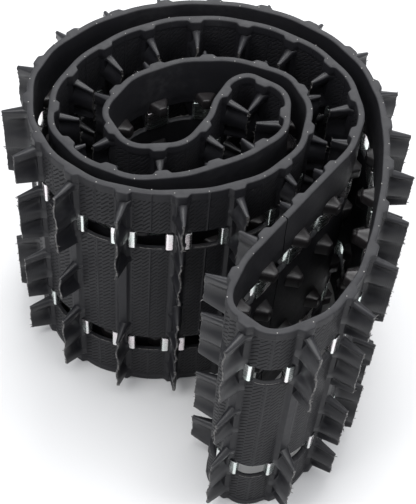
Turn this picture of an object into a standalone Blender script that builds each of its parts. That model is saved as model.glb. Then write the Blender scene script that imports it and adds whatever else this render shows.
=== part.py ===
"""Endless rubber snow track, folded double and rolled up, standing on its side edge.

The belt's width runs along Z. Its closed centre line lies in the XY plane: a tail fold at the front
right, one double turn, and an S-shaped core. Going anticlockwise round the tail, the paddles point
to the right of travel and the drive lugs to the left.
"""

import math

import bmesh
import bpy
import numpy as np
from mathutils import Vector

# Driving dimensions of the track, in metres
PITCH = 0.064
PITCHES = 54
BELT_WIDTH = 0.381
BELT_THICKNESS = 0.007
PADDLE_HEIGHT = 0.03175
PADDLE_ROOT = 0.019
PADDLE_TIP = 0.008
PADDLE_SLOPE = 0.004
DRIVE_LUG_HEIGHT = 0.015
DRIVE_LUG_BASE = 0.026
DRIVE_LUG_TIP = 0.010
DRIVE_LUG_SLOPE = 0.001
WINDOW_HEIGHT = 0.030
WINDOW_ROWS = (0.084, 0.297)
RIB_BASE = 0.018
RIB_TOP = 0.009
RIB_HEIGHT = 0.0055
FLAT = 0.026
ROD_SIZE = 0.008
ROD_OFFSET = 0.0024
ROD_END_INSET = 0.001
FIT_GAP = 0.0003
FLEX_GAP = 0.0022
CLEARANCE = 0.001  # between lugs that face each other across two strands
SINK = 0.002  # how far a lug starts inside the rubber, and a cutter outside it

# The mould repeats every three rods. Each row lists its paddles' tips as spans up the belt.
PADDLE_ROWS = (
    ((0.020, 0.064), (0.091, 0.168), (0.213, 0.290), (0.317, 0.361)),
    ((0.022, 0.118), (0.171, 0.210), (0.263, 0.359)),
    ((0.022, 0.122), (0.259, 0.359)),
)
DRIVE_LUG_SPANS = ((0.053, 0.069), (0.125, 0.145), (0.236, 0.256), (0.312, 0.328))

# The rolled belt's route, in metres before it is scaled to the belt's length
ROUTE = (
    (0.076, -0.256), (0.122, -0.238), (0.154, -0.203), (0.176, -0.158), (0.193, -0.100),
    (0.206, -0.035), (0.212, 0.035), (0.206, 0.105), (0.180, 0.168), (0.128, 0.220),
    (0.060, 0.250), (-0.020, 0.255), (-0.100, 0.234), (-0.170, 0.184), (-0.208, 0.125),
    (-0.213, 0.058), (-0.192, -0.003), (-0.145, -0.051), (-0.078, -0.074), (0.000, -0.069),
    (0.066, -0.041), (0.106, 0.002), (0.121, 0.057), (0.107, 0.112), (0.062, 0.141),
    (-0.002, 0.148), (-0.066, 0.127), (-0.108, 0.086), (-0.119, 0.042), (-0.097, 0.005),
    (-0.057, -0.005), (-0.016, 0.017), (0.007, 0.062), (0.025, 0.106), (0.052, 0.121),
    (0.086, 0.101), (0.098, 0.064), (0.084, 0.022), (0.042, -0.014), (-0.018, -0.044),
    (-0.082, -0.054), (-0.142, -0.029), (-0.180, 0.015), (-0.187, 0.068), (-0.168, 0.124),
    (-0.120, 0.180), (-0.050, 0.219), (0.028, 0.225), (0.100, 0.202), (0.158, 0.152),
    (0.184, 0.085), (0.176, 0.022), (0.138, -0.038), (0.090, -0.104), (0.048, -0.164),
    (0.031, -0.212), (0.043, -0.244),
)
FIRST_ROD = 0.033
STEPS_PER_POINT = 24
FACET_BENDS = (24, 36, 48)

# Each section of the carcass: first and last rod, counted past the last one where it wraps round
SECTIONS = {
    "belt_tail_fold": (54, 55),
    "belt_outer_strand": (56, 57),
    "belt_outer_wrap": (58, 73),
    "belt_core": (74, 89),
    "belt_inner_wrap": (90, 105),
    "belt_inner_strand": (106, 107),
}
# The lines on which the tail flexes, each mid-way between a rod and the next
FLEX_LINES = {"fold_outer_flex": 55, "outer_flex": 57, "inner_flex_open": 105}


def clear_scene():
    for obj in list(bpy.data.objects):
        bpy.data.objects.remove(obj, do_unlink=True)


def material(name, colour, roughness, metallic=0.0):
    made = bpy.data.materials.new(name)
    made.use_nodes = True
    shader = made.node_tree.nodes["Principled BSDF"]
    shader.inputs["Base Color"].default_value = (*colour, 1.0)
    shader.inputs["Roughness"].default_value = roughness
    shader.inputs["Metallic"].default_value = metallic
    made.diffuse_color = (*colour, 1.0)
    return made


# The centre line -------------------------------------------------------------------------------


def spline_through(points):
    """A closed cubic spline through the points, with equal slope and bend on both sides of each."""
    count = len(points)
    after = np.roll(points, -1, axis=0)
    reach = np.linalg.norm(after - points, axis=1)
    slope = (after - points) / reach[:, None]
    system = np.zeros((count, count))
    for i in range(count):
        before = reach[i - 1]
        system[i, i - 1] += before / 6
        system[i, i] += (before + reach[i]) / 3
        system[i, (i + 1) % count] += reach[i] / 6
    bend = np.linalg.solve(system, slope - np.roll(slope, 1, axis=0))
    line = []
    for i in range(count):
        j = (i + 1) % count
        for u in np.linspace(0.0, reach[i], STEPS_PER_POINT, endpoint=False):
            v = reach[i] - u
            cubic = (bend[i] * v**3 + bend[j] * u**3) / (6 * reach[i])
            start = (points[i] / reach[i] - bend[i] * reach[i] / 6) * v
            end = (points[j] / reach[i] - bend[j] * reach[i] / 6) * u
            line.append(cubic + start + end)
    return np.array(line)


def belt_line():
    """The centre line at the belt's real length, closed, with the distance along it at each point."""
    line = spline_through(np.array(ROUTE))
    line = np.vstack([line, line[:1]])
    along = np.concatenate([[0.0], np.cumsum(np.linalg.norm(np.diff(line, axis=0), axis=1))])
    scale = PITCHES * PITCH / along[-1]
    return line * scale, along * scale


LINE, ALONG = belt_line()


def on_line(distance):
    distance = distance % ALONG[-1]
    return np.array([np.interp(distance, ALONG, LINE[:, 0]), np.interp(distance, ALONG, LINE[:, 1])])


def rod_distance(rod):
    return FIRST_ROD + (rod - 1) * PITCH


def right_of(direction):
    return np.array([direction[1], -direction[0]])


def unit(vector):
    return vector / np.linalg.norm(vector)


def rod_frame(rod):
    """Centre, direction of travel and paddle-side direction at a rod, where the belt is flat."""
    back = on_line(rod_distance(rod) - FLAT / 2)
    front = on_line(rod_distance(rod) + FLAT / 2)
    travel = unit(front - back)
    return (back + front) / 2, travel, right_of(travel)


def bend_after(rod):
    """How far the belt turns between this rod and the next, in degrees."""
    here = rod_frame(rod)[1]
    there = rod_frame(rod + 1)[1]
    turn = math.atan2(here[0] * there[1] - here[1] * there[0], float(here @ there))
    return abs(math.degrees(turn))


def flex_stations(rod):
    """Distances along the line of the stations between the flat at this rod and the next one's."""
    start = rod_distance(rod) + FLAT / 2
    length = PITCH - FLAT
    bend = bend_after(rod)
    count = sum(bend > limit for limit in FACET_BENDS)
    return [start + length * (i + 1) / (count + 1) for i in range(count)]


def free_way(rod, side):
    """Clear distance from a rod's place on the centre line to the next strand, on one side."""
    centre, travel, right = rod_frame(rod)
    away = right * side
    own = rod_distance(rod) % ALONG[-1]
    shortest = 1.0
    for i in range(len(LINE) - 1):
        gap = abs((ALONG[i] - own + ALONG[-1] / 2) % ALONG[-1] - ALONG[-1] / 2)
        if gap < 1.2 * PITCH:
            continue
        offset = LINE[i] - centre
        if abs(offset @ travel) < PADDLE_ROOT and offset @ away > 0:
            shortest = min(shortest, float(offset @ away))
    return shortest


def squeezed(height, rod, side):
    """A lug's height: the moulded one, or half of the gap to the strand that it is pressed against."""
    room = free_way(rod, side) / 2 - BELT_THICKNESS / 2 - CLEARANCE
    return min(height, room)


def plan_centre():
    """Middle of the box round the belt and its paddles, which becomes the origin."""
    reach = BELT_THICKNESS / 2 + PADDLE_HEIGHT
    corners = []
    for rod in range(1, PITCHES + 1):
        centre, travel, right = rod_frame(rod)
        for end in (-PADDLE_TIP / 2, PADDLE_TIP / 2):
            corners.append(centre + right * reach + travel * end)
    corners = np.array(corners)
    return (corners.min(axis=0) + corners.max(axis=0)) / 2


CENTRE = plan_centre()


# Solids ----------------------------------------------------------------------------------------


def place(point, height):
    return Vector((point[0] - CENTRE[0], point[1] - CENTRE[1], height))


def add_prism(mesh, outline, low, high):
    """A straight prism along Z from an outline of plan points, with its faces outwards."""
    area = sum(a[0] * b[1] - b[0] * a[1] for a, b in zip(outline, outline[1:] + outline[:1]))
    points = outline if area > 0 else outline[::-1]
    bottom = [mesh.verts.new(place(point, low)) for point in points]
    top = [mesh.verts.new(place(point, high)) for point in points]
    mesh.faces.new(bottom[::-1])
    mesh.faces.new(top)
    for i in range(len(points)):
        j = (i + 1) % len(points)
        mesh.faces.new((bottom[i], bottom[j], top[j], top[i]))


def add_lug(mesh, rod, side, height, base, tip, span, slope):
    """A tapered block on a rod's flat, from inside the rubber to the tip; span is the tip's."""
    centre, travel, right = rod_frame(rod)
    away = right * side
    foot = BELT_THICKNESS / 2
    root = centre + away * (foot - SINK)
    end = centre + away * (foot + height)
    low, high = span
    rings = []
    for middle, half, grow in ((root, base / 2, slope), (end, tip / 2, 0.0)):
        left = middle - travel * half
        front = middle + travel * half
        corners = ((left, low - grow), (front, low - grow), (front, high + grow), (left, high + grow))
        rings.append([mesh.verts.new(place(point, z)) for point, z in corners])
    foot_ring, tip_ring = rings
    mesh.faces.new(foot_ring[::-1])
    mesh.faces.new(tip_ring)
    for i in range(4):
        j = (i + 1) % 4
        mesh.faces.new((foot_ring[i], foot_ring[j], tip_ring[j], tip_ring[i]))


def finish_mesh(name, mesh):
    bmesh.ops.recalc_face_normals(mesh, faces=mesh.faces)
    data = bpy.data.meshes.new(name)
    mesh.to_mesh(data)
    mesh.free()
    obj = bpy.data.objects.new(name, data)
    bpy.context.scene.collection.objects.link(obj)
    return obj


def helper(name, mesh):
    obj = finish_mesh(name, mesh)
    obj.hide_render = True
    obj.display_type = "WIRE"
    return obj


def section_stations(first, last):
    """Distances along the line of one section's corners, from its first cut to its last."""
    stations = [rod_distance(first) - PITCH / 2 + FLEX_GAP / 2]
    stations += [d for d in flex_stations(first - 1) if d > stations[0] + FLEX_GAP]
    for rod in range(first, last + 1):
        stations += [rod_distance(rod) - FLAT / 2, rod_distance(rod) + FLAT / 2]
        if rod < last:
            stations += flex_stations(rod)
    end = rod_distance(last) + PITCH / 2 - FLEX_GAP / 2
    stations += [d for d in flex_stations(last) if d < end - FLEX_GAP]
    stations.append(end)
    return stations


def offset_points(stations, offset):
    """Corner points at an offset to the right of the line, mitred so that the wall stays even."""
    points = [on_line(d) for d in stations]
    rights = [right_of(unit(b - a)) for a, b in zip(points, points[1:])]
    moved = []
    for i, point in enumerate(points):
        before = rights[max(i - 1, 0)]
        after = rights[min(i, len(rights) - 1)]
        mean = unit(before + after)
        moved.append(point + mean * offset / float(mean @ after))
    return moved


def rib_points(rod):
    """The four corners of the moulded rib over a rod, on the paddle side."""
    centre, travel, right = rod_frame(rod)
    surface = BELT_THICKNESS / 2
    outline = (
        (-RIB_BASE / 2, surface),
        (-RIB_TOP / 2, surface + RIB_HEIGHT),
        (RIB_TOP / 2, surface + RIB_HEIGHT),
        (RIB_BASE / 2, surface),
    )
    return [centre + travel * s + right * n for s, n in outline]


def belt_outline(first, last):
    """Plan outline of one section: the paddle side with its ribs, then back along the drive side."""
    stations = section_stations(first, last)
    paddle_side = offset_points(stations, BELT_THICKNESS / 2)
    drive_side = offset_points(stations, -BELT_THICKNESS / 2)
    flats = {}
    for rod in range(first, last + 1):
        flats[stations.index(rod_distance(rod) - FLAT / 2)] = rod
    outline = []
    for i, point in enumerate(paddle_side):
        outline.append(point)
        if i in flats:
            outline += rib_points(flats[i])
    return outline + drive_side[::-1]


def add_paddles(mesh, rod):
    height = squeezed(PADDLE_HEIGHT, rod, 1)
    for span in PADDLE_ROWS[(rod - 2) % len(PADDLE_ROWS)]:
        add_lug(mesh, rod, 1, height, PADDLE_ROOT, PADDLE_TIP, span, PADDLE_SLOPE)


def add_drive_lugs(mesh, rod):
    height = squeezed(DRIVE_LUG_HEIGHT, rod, -1)
    for span in DRIVE_LUG_SPANS:
        add_lug(mesh, rod, -1, height, DRIVE_LUG_BASE, DRIVE_LUG_TIP, span, DRIVE_LUG_SLOPE)


def add_windows(mesh, rod):
    """The two openings between this rod and the next, in which the drive sprockets' teeth work."""
    start = rod_distance(rod) + FLAT / 2
    end = rod_distance(rod + 1) - FLAT / 2
    stations = [start, *flex_stations(rod), end]
    reach = BELT_THICKNESS / 2 + SINK
    outline = offset_points(stations, reach) + offset_points(stations, -reach)[::-1]
    for row in WINDOW_ROWS:
        add_prism(mesh, outline, row - WINDOW_HEIGHT / 2, row + WINDOW_HEIGHT / 2)


def rod_section(rod, half):
    """The four corners of a rod's square section, or with a larger half of its bore's."""
    centre, travel, right = rod_frame(rod)
    middle = centre + right * ROD_OFFSET
    corners = ((-half, -half), (half, -half), (half, half), (-half, half))
    return [middle + travel * s + right * n for s, n in corners]


def add_rod_bore(mesh, rod):
    outline = rod_section(rod, ROD_SIZE / 2 + FIT_GAP)
    add_prism(mesh, outline, -SINK, BELT_WIDTH + SINK)


def cut(obj, cutter, operation):
    modifier = obj.modifiers.new(cutter.name, "BOOLEAN")
    modifier.operation = operation
    modifier.object = cutter


def belt_section(name, first, last, rubber):
    """One stretch of the carcass: belt, ribs and lugs in one moulding, with windows and rod bores."""
    body = bmesh.new()
    lugs = bmesh.new()
    windows = bmesh.new()
    bores = bmesh.new()
    add_prism(body, belt_outline(first, last), 0.0, BELT_WIDTH)
    for rod in range(first, last + 1):
        add_paddles(lugs, rod)
        add_drive_lugs(lugs, rod)
        add_rod_bore(bores, rod)
    for rod in range(first - 1, last + 1):
        add_windows(windows, rod)
    section = finish_mesh(name, body)
    section.data.materials.append(rubber)
    cut(section, helper(name + "_lugs", lugs), "UNION")
    cut(section, helper(name + "_windows", windows), "DIFFERENCE")
    cut(section, helper(name + "_bores", bores), "DIFFERENCE")
    return section


def cross_rod(rod, fibreglass):
    """One fibreglass rod, which keeps the belt stiff across its width."""
    bar = bmesh.new()
    add_prism(bar, rod_section(rod, ROD_SIZE / 2), ROD_END_INSET, BELT_WIDTH - ROD_END_INSET)
    obj = finish_mesh("cross_rod_%02d" % ((rod - 1) % PITCHES + 1), bar)
    obj.data.materials.append(fibreglass)
    return obj


# Assembly --------------------------------------------------------------------------------------


def flex_point(name):
    """A flex line's place. The inner one of the fold closes a parallelogram with the other three."""
    if name == "fold_inner_flex":
        side = flex_point("fold_outer_flex") - flex_point("outer_flex")
        return flex_point("inner_flex_open") + side
    return on_line(rod_distance(FLEX_LINES[name]) + PITCH / 2)


def add_hinge(name, parent):
    """An empty on a flex line, which is a vertical axis."""
    hinge = bpy.data.objects.new(name, None)
    hinge.empty_display_size = PITCH / 2
    world = place(flex_point(name), 0.0)
    hinge.location = world - parent.matrix_world.translation if parent else world
    hinge.parent = parent
    bpy.context.scene.collection.objects.link(hinge)
    bpy.context.view_layer.update()
    return hinge


def hang(obj, hinge):
    """Puts an object under a hinge, with its origin on the hinge's axis and its shape left in place."""
    for vertex in obj.data.vertices:
        vertex.co -= hinge.matrix_world.translation
    obj.parent = hinge


def hinge_of(name, hinges):
    """The hinge that a section of the belt hangs on, or None for the roll, which is fixed."""
    movers = {
        "belt_outer_strand": "outer_flex",
        "belt_tail_fold": "fold_outer_flex",
        "belt_inner_strand": "fold_inner_flex",
    }
    return hinges.get(movers.get(name))


def main():
    clear_scene()
    rubber = material("black_rubber", (0.018, 0.018, 0.021), 0.62)
    fibreglass = material("fibreglass", (0.72, 0.70, 0.58), 0.45)
    hinges = {}
    parent = None
    for name in ("outer_flex", "fold_outer_flex", "fold_inner_flex"):
        hinges[name] = add_hinge(name, parent)
        parent = hinges[name]
    for name, (first, last) in SECTIONS.items():
        pieces = [belt_section(name, first, last, rubber)]
        pieces += [cross_rod(rod, fibreglass) for rod in range(first, last + 1)]
        hinge = hinge_of(name, hinges)
        if hinge:
            helpers = [modifier.object for modifier in pieces[0].modifiers]
            for piece in pieces + helpers:
                hang(piece, hinge)


main()
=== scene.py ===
"""Looks of an endless rubber snow track, folded double, rolled up and standing on its side edge.

Everything moulded is first made unrolled, as if the belt lay straight: X runs along the belt, from
rod 54 on, -Y is the paddle side, +Y the drive side and Z the belt's width. Geometry Nodes then put
the repeated pieces on the rods and wrap the whole round the rolled belt's route.
"""

import math

import bmesh
import bpy
import numpy as np
from mathutils import Matrix, Vector


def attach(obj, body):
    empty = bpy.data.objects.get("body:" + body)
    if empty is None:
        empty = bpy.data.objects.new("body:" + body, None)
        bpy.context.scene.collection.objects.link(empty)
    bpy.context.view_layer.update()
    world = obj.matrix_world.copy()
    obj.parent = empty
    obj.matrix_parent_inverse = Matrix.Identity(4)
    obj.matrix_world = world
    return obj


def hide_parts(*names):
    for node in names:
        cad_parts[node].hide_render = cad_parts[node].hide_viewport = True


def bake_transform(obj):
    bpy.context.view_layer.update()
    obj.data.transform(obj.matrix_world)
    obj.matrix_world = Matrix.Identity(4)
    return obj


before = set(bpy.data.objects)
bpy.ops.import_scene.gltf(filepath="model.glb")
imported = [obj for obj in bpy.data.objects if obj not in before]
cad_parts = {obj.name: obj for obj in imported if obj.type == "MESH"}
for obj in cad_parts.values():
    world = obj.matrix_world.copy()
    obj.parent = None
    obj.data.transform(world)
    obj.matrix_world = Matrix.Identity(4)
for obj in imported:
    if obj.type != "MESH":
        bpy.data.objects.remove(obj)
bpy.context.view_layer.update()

MM = 0.001

# The track's driving dimensions, as in the solids that it covers
PITCH = 0.064
PITCHES = 54
BELT_WIDTH = 0.381
BELT_THICKNESS = 0.007
PADDLE_HEIGHT = 0.03175
PADDLE_SLOPE = 0.004
DRIVE_LUG_HEIGHT = 0.015
WINDOW_HEIGHT = 0.030
WINDOW_ROWS = (0.084, 0.297)
FLAT = 0.026
CLEARANCE = 0.001
SIDE_REACH = 0.019
PADDLE_ROWS = (
    ((0.020, 0.064), (0.091, 0.168), (0.213, 0.290), (0.317, 0.361)),
    ((0.022, 0.118), (0.171, 0.210), (0.263, 0.359)),
    ((0.022, 0.122), (0.259, 0.359)),
)
DRIVE_LUG_SPANS = ((0.053, 0.069), (0.125, 0.145), (0.236, 0.256), (0.312, 0.328))
ROUTE = (
    (0.076, -0.256), (0.122, -0.238), (0.154, -0.203), (0.176, -0.158), (0.193, -0.100),
    (0.206, -0.035), (0.212, 0.035), (0.206, 0.105), (0.180, 0.168), (0.128, 0.220),
    (0.060, 0.250), (-0.020, 0.255), (-0.100, 0.234), (-0.170, 0.184), (-0.208, 0.125),
    (-0.213, 0.058), (-0.192, -0.003), (-0.145, -0.051), (-0.078, -0.074), (0.000, -0.069),
    (0.066, -0.041), (0.106, 0.002), (0.121, 0.057), (0.107, 0.112), (0.062, 0.141),
    (-0.002, 0.148), (-0.066, 0.127), (-0.108, 0.086), (-0.119, 0.042), (-0.097, 0.005),
    (-0.057, -0.005), (-0.016, 0.017), (0.007, 0.062), (0.025, 0.106), (0.052, 0.121),
    (0.086, 0.101), (0.098, 0.064), (0.084, 0.022), (0.042, -0.014), (-0.018, -0.044),
    (-0.082, -0.054), (-0.142, -0.029), (-0.180, 0.015), (-0.187, 0.068), (-0.168, 0.124),
    (-0.120, 0.180), (-0.050, 0.219), (0.028, 0.225), (0.100, 0.202), (0.158, 0.152),
    (0.184, 0.085), (0.176, 0.022), (0.138, -0.038), (0.090, -0.104), (0.048, -0.164),
    (0.031, -0.212), (0.043, -0.244),
)
FIRST_ROD = 0.033
STEPS_PER_POINT = 24
PADDLE_HALF = 0.004
# Belt this much further along counts as the next strand
NEXT_STRAND = 1.2 * PITCH
# How far a panel's bend holds its end directions, in chords
BEND_REACH = 1.08

# The rod where the unrolled belt starts
FIRST = 54

# Each stretch of belt: its body, its first and last rod, and whether it runs on to the next rod
STRETCHES = {
    "tail_fold": ("tail_fold", 54, 55, False),
    "outer_strand": ("outer_strand", 56, 57, False),
    "outer_wrap": ("roll", 58, 73, True),
    "core": ("roll", 74, 89, True),
    "inner_wrap": ("roll", 90, 105, False),
    "inner_strand": ("inner_strand", 106, 107, False),
}
# Each panel at a joint between two bodies: the rod before it, and the bodies on its two sides
FLEX_PANELS = {
    "outer_flex": (57, "outer_strand", "roll"),
    "fold_outer_flex": (55, "tail_fold", "outer_strand"),
    "fold_inner_flex": (107, "inner_strand", "tail_fold"),
}
OPEN_PANEL = 105

# Where vents leave pips on the rim, in millimetres along from a rod and across, for each row kind
PIP_SPOTS = (((-7.5, -2.6), (30.6, -2.9)), ((33.0, -2.7),), ((7.5, -2.6), (31.2, 2.7)))

# The moulded surface: half widths of a rib, and what a boss adds and the window rows take away
RIB_FOOT, BOSS_FOOT, WINDOW_FOOT = 9.0 * MM, 2.5 * MM, 2.6 * MM
RIB_SHOULDER, BOSS_SHOULDER, WINDOW_SHOULDER = 4.8 * MM, 0.6 * MM, 0.8 * MM
RIB_HEIGHT = 4.3 * MM
BOSS_HEIGHT = 6.0 * MM
BOSS_LENGTH, BOSS_END = 15 * MM, 3.0 * MM
SLIM_END = 4.0 * MM
BAND_WIDTH, BAND_EDGE = 11 * MM, 0.8 * MM
BAND_HEIGHT = 1.0 * MM
SEAM_HEIGHT, SEAM_WIDTH = 0.5 * MM, 1.0 * MM
LEDGE, LEDGE_EDGE, LEDGE_HEIGHT = (41 * MM, 59 * MM), 1.5 * MM, 0.9 * MM
RIM_ROUND = 1.6 * MM
WINDOW_ROUND = 1.0 * MM
WINDOW_CORNER = 5 * MM

# The slit of the open pivot and the rod in it
SLIT_HALF = 0.95 * MM
FILLER_RADIUS = 0.85 * MM

# Paddles: the heights of their rings, and how far apart their pleats are
PADDLE_LEVELS = MM * np.array([
    -2.0, 3.0, 4.5, 6.0, 8.0, 11.0, 15.0, 19.0, 23.0, 26.5, 29.0, 30.6, 31.4, 31.75,
])
PLEAT_SPACING = 42 * MM
# Drive lugs: heights of their rings in millimetres, and their widths as shares of the foot's
DRIVE_LUG_RINGS = (
    (-2.0, 1.0), (0.6, 1.0), (2.0, 0.93), (5.0, 0.80),
    (9.0, 0.62), (12.6, 0.47), (14.3, 0.42), (15.0, 0.34),
)
DRIVE_LUG_FOOT = 13 * MM


# The route ------------------------------------


def spline_through(points):
    """A closed cubic spline through the points, with equal slope and bend on both sides of each."""
    count = len(points)
    after = np.roll(points, -1, axis=0)
    reach = np.linalg.norm(after - points, axis=1)
    slope = (after - points) / reach[:, None]
    system = np.zeros((count, count))
    for i in range(count):
        before = reach[i - 1]
        system[i, i - 1] += before / 6
        system[i, i] += (before + reach[i]) / 3
        system[i, (i + 1) % count] += reach[i] / 6
    bend = np.linalg.solve(system, slope - np.roll(slope, 1, axis=0))
    line = []
    for i in range(count):
        j = (i + 1) % count
        for u in np.linspace(0.0, reach[i], STEPS_PER_POINT, endpoint=False):
            v = reach[i] - u
            cubic = (bend[i] * v**3 + bend[j] * u**3) / (6 * reach[i])
            start = (points[i] / reach[i] - bend[i] * reach[i] / 6) * v
            end = (points[j] / reach[i] - bend[j] * reach[i] / 6) * u
            line.append(cubic + start + end)
    return np.array(line)


def belt_line():
    line = spline_through(np.array(ROUTE))
    line = np.vstack([line, line[:1]])
    along = np.concatenate([[0.0], np.cumsum(np.linalg.norm(np.diff(line, axis=0), axis=1))])
    scale = PITCHES * PITCH / along[-1]
    return line * scale, along * scale


LINE, ALONG = belt_line()


def on_line(distance):
    distance = distance % ALONG[-1]
    return np.array([np.interp(distance, ALONG, LINE[:, axis]) for axis in (0, 1)])


def unit(vector):
    return vector / np.linalg.norm(vector)


def rod_frame(rod):
    """Centre, direction of travel and paddle-side direction at a rod, where the belt is flat."""
    distance = FIRST_ROD + (rod - 1) * PITCH
    back = on_line(distance - FLAT / 2)
    front = on_line(distance + FLAT / 2)
    travel = unit(front - back)
    return (back + front) / 2, travel, np.array([travel[1], -travel[0]])


def plan_centre():
    """Middle of the box round the belt and its paddles, which is the frame's origin in plan."""
    reach = BELT_THICKNESS / 2 + PADDLE_HEIGHT
    corners = []
    for rod in range(1, PITCHES + 1):
        centre, travel, right = rod_frame(rod)
        for end in (-PADDLE_HALF, PADDLE_HALF):
            corners.append(centre + right * reach + travel * end)
    corners = np.array(corners)
    return (corners.min(axis=0) + corners.max(axis=0)) / 2


CENTRE = plan_centre()


def free_way(rod, side):
    """Clear distance from a rod's place on the centre line to the next strand, on one side."""
    centre, travel, right = rod_frame(rod)
    away = right * side
    own = (FIRST_ROD + (rod - 1) * PITCH) % ALONG[-1]
    gap = np.abs((ALONG - own + ALONG[-1] / 2) % ALONG[-1] - ALONG[-1] / 2)
    offset = LINE - centre
    ahead = offset @ away
    facing = (gap >= NEXT_STRAND) & (np.abs(offset @ travel) < SIDE_REACH) & (ahead > 0)
    return float(ahead[facing].min()) if facing.any() else 1.0


def squeezed(height, rod, side):
    """A lug's height: the moulded one, or half of the gap to the strand that presses on it."""
    room = free_way(rod, side) / 2 - BELT_THICKNESS / 2 - CLEARANCE
    return min(height, room)


def bend_between(rod, share):
    """Place and direction at a share of the way from one rod's flat to the next one's."""
    centre, travel, _ = rod_frame(rod)
    start = centre + travel * FLAT / 2
    next_centre, next_travel, _ = rod_frame(rod + 1)
    end = next_centre - next_travel * FLAT / 2
    reach = float(np.linalg.norm(end - start)) * BEND_REACH
    t = share
    place = (2 * t**3 - 3 * t**2 + 1) * start + (t**3 - 2 * t**2 + t) * reach * travel
    place = place + (3 * t**2 - 2 * t**3) * end + (t**3 - t**2) * reach * next_travel
    slope = (6 * t**2 - 6 * t) * (start - end) + (3 * t**2 - 4 * t + 1) * reach * travel
    slope = slope + (3 * t**2 - 2 * t) * reach * next_travel
    return place, unit(slope)


def on_belt(distance):
    """Place and direction of travel at a distance along the unrolled belt."""
    rod = FIRST + int(math.floor(distance / PITCH + 0.5))
    past = distance - (rod - FIRST) * PITCH
    if abs(past) <= FLAT / 2:
        centre, travel, _ = rod_frame(rod)
        return centre + travel * past, travel
    if past > 0:
        return bend_between(rod, (past - FLAT / 2) / (PITCH - FLAT))
    return bend_between(rod - 1, (past + PITCH - FLAT / 2) / (PITCH - FLAT))


# Meshes ---------------------------------------


def link_object(name, data):
    obj = bpy.data.objects.new(name, data)
    bpy.context.scene.collection.objects.link(obj)
    return obj


def mesh_object(name, points, faces, uvs=None, attributes=None):
    """An object from points and faces, with its normals outwards. uvs holds one pair per point."""
    data = bpy.data.meshes.new(name)
    data.from_pydata([tuple(p) for p in points], [], faces)
    if uvs is not None:
        layer = data.uv_layers.new(name="UVMap")
        corners = np.zeros(len(data.loops), np.int32)
        data.loops.foreach_get("vertex_index", corners)
        layer.data.foreach_set("uv", np.asarray(uvs, np.float32)[corners].ravel())
    for key, values in (attributes or {}).items():
        made = data.attributes.new(key, "FLOAT", "POINT")
        made.data.foreach_set("value", np.asarray(values, np.float32))
    if faces:
        mesh = bmesh.new()
        mesh.from_mesh(data)
        bmesh.ops.recalc_face_normals(mesh, faces=mesh.faces)
        mesh.to_mesh(data)
        mesh.free()
    return link_object(name, data)


def smooth_step(value):
    value = np.clip(value, 0.0, 1.0)
    return value * value * (3 - 2 * value)


def rounding(distance, radius):
    """How far a surface drops at a distance from an edge that is rounded to a radius."""
    inside = radius - np.minimum(distance, radius)
    return radius - np.sqrt(np.maximum(radius * radius - inside * inside, 0.0))


def along_stations(start, end):
    """Distances along the belt from start to end, closer together where it is shaped."""
    bar = np.array([0, 0.8, 2.0, 3.5, 5.0, 6.5, 8.2, 10.0, 11.5]) * MM
    bar = np.concatenate([bar, [FLAT / 2], FLAT - bar[::-1]])
    gap = PITCH - FLAT
    panel = np.array([0, 0.8, 2.0, 3.5, 5.5, 8.5, 12.0, 15.5, 18.2]) * MM
    panel = np.concatenate([panel, [gap / 2], gap - panel[::-1]])
    found = []
    for step in range(int(math.floor(start / PITCH)) - 1, int(math.ceil(end / PITCH)) + 1):
        found.append(step * PITCH - FLAT / 2 + bar[:-1])
        found.append(step * PITCH + FLAT / 2 + panel[:-1])
    found = np.concatenate(found)
    inside = found[(found > start + 0.1 * MM) & (found < end - 0.1 * MM)]
    return np.concatenate([[start], inside, [end]])


def across_stations():
    """Heights across the belt, closer together at its rims and at the window rows' edges."""
    low, high = WINDOW_ROWS[0] - WINDOW_HEIGHT / 2, WINDOW_ROWS[0] + WINDOW_HEIGHT / 2
    rim = MM * np.array([
        0, 0.3, 0.8, 1.6, 3.5, 7, 10.4, 11.2, 12.5, 14.5, 17, 20, 26, 34, 42, 50, 57, 62,
    ])
    edge = np.array([0, 0.8, 2.0, 3.5, 5.0]) * MM
    window = low + np.array([3.0, 5.5, 10, 15, 20, 24.5, 27.0]) * MM
    inner = np.arange(high + 12 * MM, BELT_WIDTH / 2 - 3 * MM, 9 * MM)
    half = np.concatenate([rim, low - edge[::-1], window, high + edge, inner])
    return np.concatenate([half, [BELT_WIDTH / 2], BELT_WIDTH - half[::-1]])


def from_rod(u):
    """Signed distance from the nearest rod along the belt."""
    return (u + PITCH / 2) % PITCH - PITCH / 2


def from_window_row(z):
    """Distance across the belt from the middle of the nearest window row."""
    return np.minimum(*[np.abs(z - row) for row in WINDOW_ROWS])


def window_distance(u, z):
    """Distance outside the nearest window's edges, and 0 on them or within."""
    beside = np.maximum(FLAT / 2 - np.abs(from_rod(u)), 0.0)
    nearest = np.full(np.shape(u * z), 1.0)
    for row in WINDOW_ROWS:
        above = np.maximum(np.abs(z - row) - WINDOW_HEIGHT / 2, 0.0)
        nearest = np.minimum(nearest, np.hypot(beside, above))
    return nearest


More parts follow.
